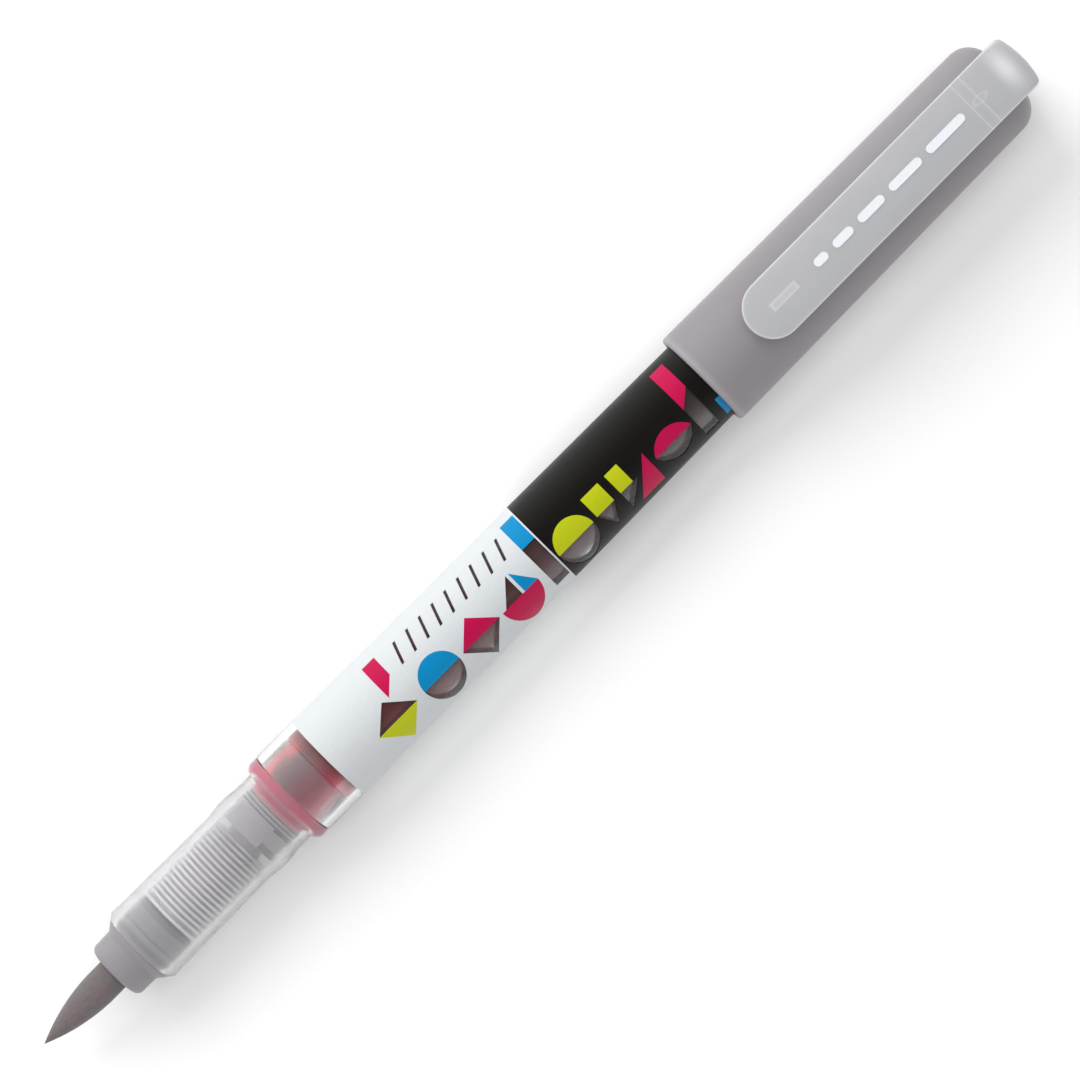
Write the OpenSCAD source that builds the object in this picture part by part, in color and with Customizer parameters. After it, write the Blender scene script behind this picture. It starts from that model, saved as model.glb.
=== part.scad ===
// Calligraphy marker with a felt brush nib, a clear finned-collector grip, a printed
// ink barrel and a clip cap pushed onto the barrel's tail.
//
// The marker lies along X with its nib towards -X and its clip on top. Stations are distances
// along the axis from the nib's tip. The origin is under the middle of the whole marker,
// on the surface that it lies on.

/* [Nib and nose] */
// Radius of the felt nib's round shank
nib_r = 2.1; // [1.9:0.05:2.25]
// Length of felt that shows ahead of the nose
nib_exposed = 11.7; // [10.5:0.1:12.5]
// Length of the nib's pointed front
nib_point = 10; // [8.5:0.1:10.4]
// Length of felt held inside the nib holder
nib_buried = 7; // [5:0.1:7.2]
// Radius of the nib holder's nose
nose_r = 3.9; // [3.75:0.05:4]
// Length of the nose ahead of its shoulder
nose_len = 3.05; // [2.55:0.05:3.8]
// Radius of the round at the nose's front edge
nose_round = 1.6; // [0.8:0.1:1.6]
// Radius of the holder's shoulder, in front of the grip
shoulder_r = 4.7; // [4.4:0.05:4.8]
// Length of the shoulder's cone
shoulder_len = 1.1; // [0.9:0.1:1.5]
// Radius of the holder's stem inside the grip
stem_r = 4; // [3.8:0.05:4]

/* [Grip section] */
// Largest radius of the grip behind its front shoulder
grip_r = 5.25; // [5:0.05:5.35]
// Radius of the grip where the fingers sit
grip_waist_r = 5.05; // [4.9:0.05:5.2]
// Length of the clear grip ahead of the barrel
grip_len = 25.5; // [25.2:0.1:27]
// Length of the spigot that plugs the barrel
spigot_len = 4.2; // [3:0.1:5]
// Radius of the collector's chamber in the grip
chamber_r = 4.05; // [4:0.01:4.15]
// Radius of the ink's throat in the spigot
throat_r = 4.6; // [4.3:0.05:4.65]

/* [Ink collector] */
// Radius of the collector's fins
fin_r = 3.98; // [3.8:0.01:3.99]
// Distance from one fin to the next
fin_pitch = 0.68; // [0.6:0.01:0.7]
// Thickness of one fin
fin_t = 0.34; // [0.25:0.01:0.4]
// Number of fins ahead of the seal block
fin_count = 17; // [12:1:17]
// Radius of the collector's core
core_r = 2.4; // [2.1:0.05:2.8]
// Radius of the fibre rod that feeds the nib
rod_r = 1.2; // [1:0.05:1.3]

/* [Barrel] */
// Radius of the barrel's front land
barrel_r = 6.03; // [6.03:0.01:6.2]
// Length of the straight clear land behind the grip
land_len = 5.9; // [5:0.1:6.5]
// Length of the whole barrel
barrel_len = 91; // [88:0.5:96]
// Thickness of the barrel's wall
barrel_wall = 1; // [0.8:0.05:1.1]
// Loss of radius for each millimetre along the moulded taper
draft = 0.0085; // [0.006:0.0005:0.01]
// Thickness of the printed film on the barrel
print_t = 0.06; // [0.04:0.01:0.1]
// Radius of the steel mixing ball
ball_r = 1.9; // [1.5:0.05:2]

/* [Cap] */
// Length of the cap
cap_len = 50.6; // [49:0.1:53]
// Length of barrel covered by the posted cap
posted_len = 23; // [21:0.1:23.5]
// Radial gap between the cap's bore and the barrel
cap_clearance = 0.08; // [0.03:0.01:0.1]
// Thickness of the cap's side wall
cap_wall = 0.98; // [0.9:0.01:1.1]
// Radius of the round at the cap's closed end
cap_round = 3.1; // [2.6:0.1:3.3]

/* [Clip] */
// Width of the clip
clip_w = 7.27; // [6.6:0.01:7.4]
// Thickness of the clip's plate
clip_t = 1.3; // [1:0.05:1.5]
// Gap between the clip and the cap at the cap's rim
clip_gap = 1.5; // [1.2:0.05:2]
// Distance from the cap's rim to the clip's free tip
clip_tip_inset = 7.8; // [6.5:0.1:9]
// How far the clip's head stands beyond the cap's end
clip_overhang = 1.85; // [1.6:0.01:2]
// Radius of the bend over the cap's end
clip_bend_r = 2.2; // [1.8:0.1:2.4]

/* [Hidden] */
$fn = 96;

film = 0.03;                              // play between still parts that sit in each other
cut = 0.5;                                // how far a cutter reaches past what it cuts

nose_front = nib_exposed;                 // stations along the axis, front to back
shoulder_front = nose_front + nose_len;
grip_front = shoulder_front + shoulder_len;
nib_end = nose_front + nib_buried;
stem_end = grip_front + 4.75;             // the holder's stem inside the grip
collector_front = stem_end + 0.4;
fins_front = collector_front + 0.9;
block_front = fins_front + fin_count * fin_pitch + 0.6;
block_end = block_front + 3.1;
back_pitch = 0.52;                        // of the two fins behind the seal block
collector_end = block_end + 2 * back_pitch;
grip_end = grip_front + grip_len;
flare_front = grip_end - 2;               // the collector's chamber flares out to the throat
flare_end = grip_end - 1.1;
spigot_end = grip_end + spigot_len;
rod_front = nib_end - 2.5;                // the rod pushes into the back of the nib
rod_end = spigot_end + 2;
land_end = grip_end + land_len;
split_station = land_end + 35.5;          // where the white print meets the black
barrel_end = grip_end + barrel_len;
tank_end = barrel_end - 1.3;
print_end = barrel_end - 1.6;
cap_rim = barrel_end - posted_len;
cap_end = cap_rim + cap_len;
cap_floor = cap_end - 1.6;
liner_rim = barrel_end + 1.1;             // the liner clears the barrel's tail when posted
head_end = cap_end + clip_overhang;

cap_r = barrel_at(cap_rim) + cap_clearance + cap_wall;
axis_z = cap_r;                           // height of the axis, with the cap's rim on the surface
middle = head_end / 2;
flat_r = cap_at(cap_end) - cap_round;     // flat at the middle of the cap's end
clip_under = cap_r + clip_gap;            // the clip's underside above the axis
clip_top = clip_under + clip_t;
clip_tip = cap_rim + clip_tip_inset;
foot_front = cap_end - 6.8;               // foot under the clip's root, which stands on the cap
foot_len = 1.4;
plug_r = 1.8;                             // plug that holds the clip in the cap's end
hinge_gap = 0.05;                         // between the arm and the head at the flexing line
rib_w = 1.15;                             // rib under the clip's tip that grips the cloth
rib_len = 4.1;

ball_station = 88;                        // where the ball rests, along the tank
ball_drop = 2.2;                          // the ball lies this far below the axis
lane_gap = 0.35;                          // of the lane that the ball rolls in, round the ball

// The barrel's outer radius at a station, over its print
function barrel_at(s) = barrel_r - draft * max(s - land_end, 0);
// The cap's outer radius at a station
function cap_at(s) = cap_r - draft * (s - cap_rim);
// Points of an arc about [x, y], from one angle to the other
function arc(x, y, r, from, to, steps = 12) =
    [for (i = [0 : steps]) let (a = from + (to - from) * i / steps) [x + r * cos(a), y + r * sin(a)]];
// Radius of the nib's pointed front at a station, a tangent ogive
ogive = (nib_r * nib_r + nib_point * nib_point) / (2 * nib_r);
function nib_at(s) = sqrt(ogive * ogive - pow(nib_point - s, 2)) + nib_r - ogive;

// Places what is drawn about local Z, by station, along the marker's axis
module along() {
    translate([-middle, 0, axis_z]) rotate([0, 90, 0]) children();
}

// A round part, from an outline of [radius, station] points
module turned(outline) {
    along() rotate_extrude() polygon(outline);
}

// A round hole about the axis, or beside it by drop
module drilled(r, from, to, drop = 0) {
    along() translate([drop, 0, from]) cylinder(r = r, h = to - from);
}

// An outline drawn in [station, height above the axis], as wide across the marker as w
module side_plate(w) {
    translate([-middle, w / 2, axis_z]) rotate([90, 0, 0]) linear_extrude(w) children();
}

// An outline drawn in [station, distance to the +Y side], cut upwards from the axis
module from_above(height) {
    translate([-middle, 0, axis_z]) linear_extrude(height) children();
}

module brush_nib() color([0.47, 0.42, 0.43]) {
    tip_r = 0.1;
    steps = 14;
    point = [for (i = [0 : steps]) let (s = 0.5 + (nib_point - 0.5) * i / steps) [nib_at(s), s]];
    difference() {
        turned(concat([[0, 0], [tip_r, 0]], point, [[nib_r, nib_end], [0, nib_end]]));
        drilled(rod_r + film, rod_front, nib_end + cut);
    }
}

module nib_holder() color([0.6, 0.58, 0.6]) {
    difference() {
        turned(concat(
            [[0, nose_front]],
            arc(nose_r - nose_round, nose_front + nose_round, nose_round, -90, 0),
            [[nose_r, shoulder_front], [shoulder_r, grip_front], [stem_r, grip_front]],
            [[stem_r, stem_end], [0, stem_end]]
        ));
        drilled(nib_r + film, nose_front - cut, nib_end + film);
        drilled(rod_r + film, nib_end, stem_end + cut);
    }
}

module grip_section() color([0.85, 0.87, 0.9, 0.45]) {
    edge = 0.6;
    wave = grip_end - 5.6;
    spigot_r = barrel_r - barrel_wall - film;
    outline = concat(
        [[stem_r + film, grip_front]],
        arc(grip_r - edge, grip_front + edge, edge, -90, 0, 6),
        [[grip_r, grip_front + 1.8], [grip_waist_r, wave - 3.3]],
        [for (i = [1 : 7]) [grip_waist_r + 0.25 * sin(180 * i / 8), wave - 3.3 + 4.8 * i / 8]],
        [[grip_waist_r + 0.03, grip_end - 2.1]],
        arc(barrel_r - 1.2, grip_end - 0.7, 1.14, -78, 0, 8),
        [[barrel_r - 0.06, grip_end], [spigot_r, grip_end]],
        [[spigot_r, spigot_end - 0.4], [spigot_r - 0.2, spigot_end], [throat_r, spigot_end]],
        [[throat_r, flare_end], [chamber_r, flare_front], [chamber_r, collector_front - 0.3]],
        [[stem_r + film, collector_front - 0.3]]
    );
    turned(outline);
}

module collector() color([0.68, 0.67, 0.69]) {
    seal = fin_t + 0.05;
    difference() {
        union() {
            drilled(core_r, collector_front, collector_end);
            drilled(fin_r, collector_front, collector_front + seal);
            for (i = [0 : fin_count - 1])
                drilled(fin_r, fins_front + i * fin_pitch, fins_front + i * fin_pitch + fin_t);
            drilled(fin_r, block_front, block_end);
            for (i = [1 : 2])
                drilled(fin_r, block_end + i * back_pitch - fin_t, block_end + i * back_pitch);
        }
        drilled(rod_r + film, collector_front - cut, collector_end + cut);
        air_slot();
        block_pockets();
    }
}

// The slot that lets air back to the tank, all along the fins
module air_slot() {
    slot_w = 0.5;
    translate([collector_front - cut - middle, -slot_w / 2, axis_z - fin_r - cut])
        cube([collector_end - collector_front + 2 * cut, slot_w, fin_r + cut - core_r + 0.3]);
}

// Two pockets that leave a raised pad on the -Y side of the seal block
module block_pockets() {
    pocket_y = -1.5;
    for (span = [[0.1, 0.95], [2.75, 3.2]])
        translate([block_front + span[0] - middle, pocket_y - fin_r, axis_z])
            cube([span[1] - span[0], fin_r, fin_r + cut]);
}

module feed_rod() color([0.62, 0.35, 0.4]) {
    drilled(rod_r, rod_front, rod_end);
}

module barrel() color([0.85, 0.87, 0.9, 0.45]) {
    tail_r = barrel_at(barrel_end) - print_t;
    tail_round = 1.2;
    turned(concat(
        [[barrel_r - barrel_wall, grip_end], [barrel_r - 0.1, grip_end], [barrel_r, grip_end + 0.1]],
        [[barrel_r, land_end], [barrel_r - print_t, land_end]],
        [[barrel_at(print_end) - print_t, print_end]],
        arc(tail_r - tail_round, barrel_end - tail_round, tail_round, 0, 90, 8),
        [[0, barrel_end], [0, tank_end], [barrel_at(tank_end) - barrel_wall, tank_end]],
        [[barrel_r - barrel_wall, land_end]]
    ));
}

// The ink charge fills the grip's rear chamber and the tank, but for the ball's lane
module ink() color([0.42, 0.13, 0.2]) {
    tank_gap = 0.1;
    tank_r = barrel_r - barrel_wall - tank_gap;
    end_r = barrel_at(tank_end) - barrel_wall - tank_gap;
    difference() {
        turned([
            [0, collector_end + film], [chamber_r - film, collector_end + film],
            [chamber_r - film, flare_front], [throat_r - film, flare_end],
            [throat_r - film, spigot_end + film], [tank_r, spigot_end + film], [tank_r, land_end],
            [end_r, tank_end - film], [0, tank_end - film]
        ]);
        drilled(rod_r + film, collector_end, rod_end + film);
        drilled(ball_r + lane_gap, rod_end + 0.8, tank_end + cut, ball_drop);
    }
}

module mixing_ball() color([0.75, 0.76, 0.78]) {
    translate([ball_station - middle, 0, axis_z - ball_drop]) sphere(r = ball_r);
}

// A band of printed film round the barrel
module print_band(from, to) {
    turned([
        [barrel_at(from) - print_t, from], [barrel_at(from), from],
        [barrel_at(to), to], [barrel_at(to) - print_t, to]
    ]);
}

// Artwork outlines lie in [distance behind the front of the print, distance to the +Y side].
// Each tile is built from plain shapes about its own centre.
tile_y = -2.7;                            // centre line of the row of tiles
tick_y = 2.75;                            // centre line of the row of ticks

module disc(x, y, r) translate([x, y]) circle(r = r);
module shape(points) polygon(points);
module lower_half(x) translate([x - 4, tile_y - 8]) square([8, 8]);
module rhomb(x, y, w, h) polygon([[x - w, y], [x, y - h], [x + w, y], [x, y + h]]);
// A leaf between two points w apart along the row, with sides of radius r
module leaf(x, y, w, r) {
    lift = sqrt(r * r - w * w / 4);
    intersection() {
        disc(x, y - lift, r);
        disc(x, y + lift, r);
    }
}

module art_magenta() {
    shape([[10.2, 4.4], [12.2, 4.4], [12.2, 1.7], [10.2, -0.2]]);
    difference() {
        rhomb(22.9, tile_y, 3, 2.85);
        lower_half(22.9);
    }
    intersection() {
        disc(29.3, tile_y, 2.9);
        lower_half(29.3);
    }
    shape([[47.4, -5], [51, -5], [51, -1]]);
    difference() {
        leaf(54.6, tile_y, 5.8, 3.2);
        lower_half(54.6);
    }
    shape([[58, 4.6], [60.1, 4.6], [60.1, 0.8], [58, -1]]);
}

module art_cyan() {
    difference() {
        disc(16.4, tile_y, 2.85);
        lower_half(16.4);
    }
    shape([[30.1, 0.2], [32.2, -2.7], [30.1, -2.7]]);
    shape([[33.2, 4.6], [35.3, 4.6], [35.3, 0.9], [33.2, 0.9]]);
    shape([[61.4, -4.9], [63, -4.9], [63, -2.7], [61.4, -2.7]]);
}

module art_lime() {
    intersection() {
        rhomb(9.2, tile_y, 3.1, 2.75);
        lower_half(9.2);
    }
    difference() {
        disc(38.6, tile_y, 2.8);
        lower_half(38.6);
    }
    shape([[42.1, 0.2], [44.9, 0.2], [44.9, -2.6], [42.1, -2.6]]);
    shape([[46, 0.2], [48, 0.2], [48, -2.6], [46, -2.6]]);
}

// Clear windows in the print, which show the ink
module art_window() {
    difference() {
        rhomb(9.2, tile_y, 3.1, 2.75);
        lower_half(9.2);
    }
    intersection() {
        disc(16.4, tile_y, 2.85);
        lower_half(16.4);
    }
    intersection() {
        rhomb(22.9, tile_y, 3, 2.85);
        lower_half(22.9);
    }
    shape([[29.7, 0.2], [29.7, -2.7], [27, -2.7]]);
    shape([[33.2, 0.9], [35.3, 0.9], [35.3, -4.9], [33.2, -4.9]]);
    intersection() {
        disc(38.6, tile_y, 2.8);
        lower_half(38.6);
    }
    shape([[42.1, -2.6], [44.9, -2.6], [43.5, -5]]);
    shape([[46, -2.6], [48.9, -2.6], [46, -4.9]]);
    intersection() {
        leaf(54.6, tile_y, 5.8, 3.2);
        lower_half(54.6);
    }
    shape([[58, -1], [60.1, 0.8], [60.1, -4.9], [58, -4.9]]);
    for (i = [0 : 8]) shape([
        [14 + 2.1 * i, tick_y - 1.3], [14.4 + 2.1 * i, tick_y - 1.3],
        [15.3 + 2.1 * i, tick_y + 1.3], [14.9 + 2.1 * i, tick_y + 1.3]
    ]);
}

// Artwork outlines raised through the film on the barrel's upper side
module artwork() {
    from_above(barrel_r + cut) translate([land_end, 0]) children();
}

module print_white() color([0.93, 0.94, 0.95]) {
    difference() {
        print_band(land_end, split_station);
        artwork() union() {
            art_magenta();
            art_cyan();
            art_lime();
            art_window();
        }
    }
}

module print_black() color([0.15, 0.15, 0.15]) {
    difference() {
        print_band(split_station, print_end);
        artwork() union() {
            art_magenta();
            art_cyan();
            art_lime();
            art_window();
        }
    }
}

module print_magenta() color([0.84, 0.12, 0.36]) {
    intersection() {
        print_band(land_end, print_end);
        artwork() art_magenta();
    }
}

module print_cyan() color([0, 0.6, 0.84]) {
    intersection() {
        print_band(land_end, print_end);
        artwork() art_cyan();
    }
}

module print_lime() color([0.84, 0.87, 0.16]) {
    intersection() {
        print_band(land_end, print_end);
        artwork() art_lime();
    }
}

module cap_body() color([0.62, 0.6, 0.62]) {
    edge = 0.3;
    bore = [cap_r - cap_wall, cap_rim];
    floor_r = cap_at(cap_floor) - cap_wall;
    difference() {
        turned(concat(
            [bore, [cap_r - edge, cap_rim]],
            arc(cap_r - edge, cap_rim + edge, edge, -90, 0, 5),
            arc(flat_r, cap_end - cap_round, cap_round, 0, 90, 14),
            [[0, cap_end], [0, cap_floor], [floor_r, cap_floor]]
        ));
        drilled(plug_r, cap_floor - cut, cap_end + cut);
    }
}

// The soft liner that seals on the nib holder's shoulder when the cap is over the nib
module inner_cap() color([0.9, 0.9, 0.9]) {
    liner_r = 4.3;
    mouth = 0.6;
    rim_r = cap_at(liner_rim) - cap_wall - film;
    floor_r = cap_at(cap_floor) - cap_wall - film;
    turned([
        [rim_r - mouth / 2, liner_rim], [rim_r, liner_rim + mouth], [floor_r, cap_floor], [0, cap_floor],
        [0, cap_floor - 0.8], [liner_r, cap_floor - 0.8], [liner_r, liner_rim + mouth]
    ]);
}

// The bent head over the cap's end, with its foot and its plug
module clip_head() color([0.82, 0.84, 0.86, 0.8]) {
    gap = 0.05;
    foot_z = cap_at(foot_front) + gap;
    bend = [head_end - clip_bend_r, clip_top - clip_bend_r];
    inner_bend = clip_bend_r - clip_overhang + gap;
    intersection() {
        union() {
            side_plate(clip_w) polygon(concat(
                [[foot_front, foot_z], [foot_front, clip_top]],
                arc(bend[0], bend[1], clip_bend_r, 90, 0),
                [[head_end, -flat_r], [cap_end + gap, -flat_r]],
                arc(bend[0], bend[1], inner_bend, 0, 90, 6),
                [[foot_front + foot_len, clip_under], [foot_front + foot_len, foot_z]]
            ));
            drilled(plug_r, cap_floor, cap_end + 2 * gap);
        }
        head_outline();
    }
}

// The head seen from the cap's end: straight sides and a round foot about the axis
module head_outline() {
    along() translate([0, 0, cap_floor - 10]) linear_extrude(20) union() {
        circle(r = clip_w / 2);
        translate([-clip_top - cut, -clip_w / 2]) square([clip_top + cut, clip_w]);
    }
}

module clip_arm() color([0.82, 0.84, 0.86, 0.8]) {
    root = foot_front - hinge_gap;
    tip_r = clip_w / 2;
    rib_front = clip_tip + 3.4;
    translate([-middle, 0, axis_z + clip_under]) linear_extrude(clip_t) union() {
        translate([clip_tip + tip_r, 0]) circle(r = tip_r);
        translate([clip_tip + tip_r, -tip_r]) square([root - clip_tip - tip_r, clip_w]);
    }
    rib_z = cap_at(rib_front) + 0.1;
    side_plate(rib_w) polygon([
        [rib_front, clip_under + clip_t / 2], [rib_front, rib_z + 0.3], [rib_front + 0.6, rib_z],
        [rib_front + rib_len - 1, rib_z], [rib_front + rib_len, clip_under],
        [rib_front + rib_len, clip_under + clip_t / 2]
    ]);
}

// Plain printed bars on the clip
module clip_print() color([0.95, 0.95, 0.96]) {
    bars = [0.9, 1.9, 2.9, 3.9, 4.9];
    bar_gap = 1.1;
    bar_r = 0.55;
    first = clip_tip + 11;
    translate([-middle, 0, axis_z + clip_top]) linear_extrude(print_t)
        for (i = [0 : len(bars) - 1]) {
            start = first + bars_before(bars, i) + i * (bar_gap + 2 * bar_r);
            for (x = [start, start + bars[i]]) translate([x, 0]) circle(r = bar_r);
            translate([start, -bar_r]) square([bars[i], 2 * bar_r]);
        }
}
// Total length of the bars ahead of bar n
function bars_before(bars, n) = n == 0 ? 0 : bars[n - 1] + bars_before(bars, n - 1);

brush_nib();
nib_holder();
grip_section();
collector();
feed_rod();
barrel();
ink();
mixing_ball();
print_white();
print_black();
print_magenta();
print_cyan();
print_lime();
cap_body();
inner_cap();
clip_head();
clip_arm();
clip_print();
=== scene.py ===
"""Looks for the calligraphy marker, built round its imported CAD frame."""
import math

import bmesh
import bpy
import numpy as np
from mathutils import Matrix, Vector, noise
from mathutils.geometry import delaunay_2d_cdt


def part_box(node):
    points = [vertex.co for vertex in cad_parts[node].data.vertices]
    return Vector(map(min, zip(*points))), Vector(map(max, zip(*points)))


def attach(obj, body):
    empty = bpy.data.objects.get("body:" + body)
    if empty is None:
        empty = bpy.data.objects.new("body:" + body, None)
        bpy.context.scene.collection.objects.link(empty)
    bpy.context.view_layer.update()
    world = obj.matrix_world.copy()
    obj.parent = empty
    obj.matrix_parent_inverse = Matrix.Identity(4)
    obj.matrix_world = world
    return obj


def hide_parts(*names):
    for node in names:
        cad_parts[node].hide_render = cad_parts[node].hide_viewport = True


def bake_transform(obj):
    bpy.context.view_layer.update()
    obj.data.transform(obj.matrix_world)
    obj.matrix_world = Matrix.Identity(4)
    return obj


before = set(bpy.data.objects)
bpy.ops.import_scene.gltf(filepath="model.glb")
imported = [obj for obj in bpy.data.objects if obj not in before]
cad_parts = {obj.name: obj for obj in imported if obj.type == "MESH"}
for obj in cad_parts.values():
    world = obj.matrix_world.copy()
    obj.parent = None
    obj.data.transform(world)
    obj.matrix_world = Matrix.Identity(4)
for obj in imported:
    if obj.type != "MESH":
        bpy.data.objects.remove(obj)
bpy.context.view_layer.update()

MM = 0.001
TIP_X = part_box("brush_nib")[0].x                    # stations are mm along the axis from the nib's tip
AXIS_Z = sum(v.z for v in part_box("cap_body")) / 2


def station(x):
    """A place along X in metres, as a station in mm."""
    return (x - TIP_X) / MM


def span(node):
    """A node's front and rear stations."""
    low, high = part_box(node)
    return station(low.x), station(high.x)


def radius(node):
    """Half of a node's width across the axis, in mm."""
    low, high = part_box(node)
    return (high.y - low.y) / 2 / MM


def point(s, y, z):
    """A station and distances to the side and above the axis, in mm, as a point in the frame."""
    return Vector((TIP_X + s * MM, y * MM, AXIS_Z + z * MM))


# Stations and radii of the design, read from the frame
NOSE_FRONT, STEM_END = span("nib_holder")
NIB_END = span("brush_nib")[1]
NIB_R = radius("brush_nib")
NOSE_R = 3.9
GRIP_FRONT, SPIGOT_END = span("grip_section")
BARREL_FRONT, BARREL_END = span("barrel")
BARREL_R = radius("barrel")
PRINT_FRONT, PRINT_SPLIT = span("print_white")
PRINT_END = span("print_black")[1]
COLLECTOR_FRONT, COLLECTOR_END = span("collector")
FIN_R = radius("collector")
INK_END = span("ink")[1]
CAP_RIM, CAP_END = span("cap_body")
CAP_R = radius("cap_body")
LINER_RIM, LINER_END = span("inner_cap")
CLIP_TIP = span("clip_arm")[0]
HEAD_FRONT, HEAD_END = span("clip_head")
CLIP_W = 2 * radius("clip_arm")
CLIP_TOP = (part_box("clip_arm")[1].z - AXIS_Z) / MM

DRAFT = 0.0085                                      # loss of radius for each mm of the moulded taper
FILM_T = 0.06                                       # thickness of the printed film
SHOULDER_R = 4.7
SHOULDER_FRONT = GRIP_FRONT - 1.1
GRIP_R = 5.25
GRIP_WAIST_R = 5.05
STEM_R = 4.0
CHAMBER_R = 4.05
THROAT_R = 4.6
BARREL_WALL = 1.0
BORE_R = BARREL_R - BARREL_WALL
TAIL_T = 1.3                                        # thickness of the barrel's closed tail
CAP_WALL = 0.98
CAP_ROUND = 3.1
PLUG_R = 1.8                                        # the clip's plug, in a hole in the cap's end
PLUG_FRONT = CAP_END - 1.6
CLIP_T = 1.3
HEAD_T = 1.8                                        # the clip is thicker behind the cap's end
AROUND = 192                                        # facets round a visible turned piece


def barrel_at(s):
    """Outer radius of the printed barrel."""
    return BARREL_R - DRAFT * max(s - PRINT_FRONT, 0)


def cap_at(s):
    """Outer radius of the cap."""
    return CAP_R - DRAFT * (s - CAP_RIM)


# ---------------------------------------------------------------- meshes

def add_object(name, verts, faces, sharp=35):
    """A mesh object from vertices in metres, smooth but for edges sharper than an angle."""
    mesh = bpy.data.meshes.new(name)
    mesh.from_pydata([tuple(v) for v in verts], [], faces)
    mesh.validate()
    obj = bpy.data.objects.new(name, mesh)
    bpy.context.scene.collection.objects.link(obj)
    face_outwards(mesh)
    smooth(mesh, sharp)
    return obj


def face_outwards(mesh):
    """Turns a closed mesh's faces outwards."""
    bm = bmesh.new()
    bm.from_mesh(mesh)
    bmesh.ops.recalc_face_normals(bm, faces=bm.faces)
    bm.to_mesh(mesh)
    bm.free()


def smooth(mesh, sharp=35):
    """Smooth shading, but for edges sharper than an angle in degrees."""
    mesh.polygons.foreach_set("use_smooth", [True] * len(mesh.polygons))
    mesh.set_sharp_from_angle(angle=math.radians(sharp))


def rounded(corners, steps=5):
    """A closed outline of corners, each (radius, station), or (radius, station, round) to round it."""
    outline, count = [], len(corners)
    for i, corner in enumerate(corners):
        here = Vector(corner[:2])
        if len(corner) < 3:
            outline.append(tuple(here))
            continue
        before = Vector(corners[i - 1][:2]) - here
        after = Vector(corners[(i + 1) % count][:2]) - here
        half = before.angle(after) / 2
        back = min(corner[2] / math.tan(half), before.length * 0.49, after.length * 0.49)
        before, after = before.normalized(), after.normalized()
        centre = here + (before + after).normalized() * (back / math.cos(half))
        start, end = here + before * back - centre, here + after * back - centre
        sweep = start.angle(end)
        for k in range(steps + 1):
            a = sweep * k / steps
            turned = start * math.sin(sweep - a) + end * math.sin(a)
            outline.append(tuple(centre + turned / math.sin(sweep)))
    return outline


def arc(x, y, r, first, last, steps=12):
    """Points of an arc about (x, y), between two angles in degrees."""
    turns = [math.radians(first + (last - first) * k / steps) for k in range(steps + 1)]
    return [(x + r * math.cos(a), y + r * math.sin(a)) for a in turns]


def lathe(name, outline, around=AROUND, shape=None, sharp=35):
    """Turns a closed outline of (radius, station) points about the axis. shape(r, s, angle) may change
    the radius at each point; angle 0 is the +Y side and 90 degrees the top."""
    verts, rings = [], []
    for r, s in outline:
        if r < 1e-6:
            rings.append([len(verts)])
            verts.append(point(s, 0, 0))
            continue
        ring = []
        for k in range(around):
            a = 2 * math.pi * k / around
            size = shape(r, s, a) if shape else r
            ring.append(len(verts))
            verts.append(point(s, size * math.cos(a), size * math.sin(a)))
        rings.append(ring)
    faces = []
    for i, ring in enumerate(rings):
        other = rings[(i + 1) % len(rings)]
        if len(ring) == 1 and len(other) == 1:
            continue
        for k in range(around):
            n = (k + 1) % around
            a, b = ring[k % len(ring)], ring[n % len(ring)]
            c, d = other[n % len(other)], other[k % len(other)]
            faces.append(list(dict.fromkeys((a, b, c, d))))
    return add_object(name, verts, faces, sharp)


def prism(outlines, low, high):
    """One mesh of upright prisms from outlines of (station, y) points, between two heights over the axis."""
    verts, faces = [], []
    for outline in outlines:
        first, count = len(verts), len(outline)
        verts += [point(s, y, low) for s, y in outline] + [point(s, y, high) for s, y in outline]
        faces.append([first + k for k in range(count)])
        faces.append([first + count + k for k in range(count)])
        for k in range(count):
            n = (k + 1) % count
            faces.append([first + k, first + n, first + count + n, first + count + k])
    return add_object("cutter", verts, faces)


def combine(obj, tool, operation):
    """Applies a boolean with another object, which is then removed."""
    modifier = obj.modifiers.new("combine", "BOOLEAN")
    modifier.operation, modifier.object, modifier.solver = operation, tool, "EXACT"
    bake_modifiers(obj)
    bpy.data.objects.remove(tool)


def bake_modifiers(obj):
    """Replaces the object's mesh by what its modifiers make of it."""
    evaluated = obj.evaluated_get(bpy.context.evaluated_depsgraph_get())
    made = bpy.data.meshes.new_from_object(evaluated)
    obj.modifiers.clear()
    old, obj.data = obj.data, made
    bpy.data.meshes.remove(old)
    made.name = obj.name


# ---------------------------------------------------------------- materials

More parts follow.
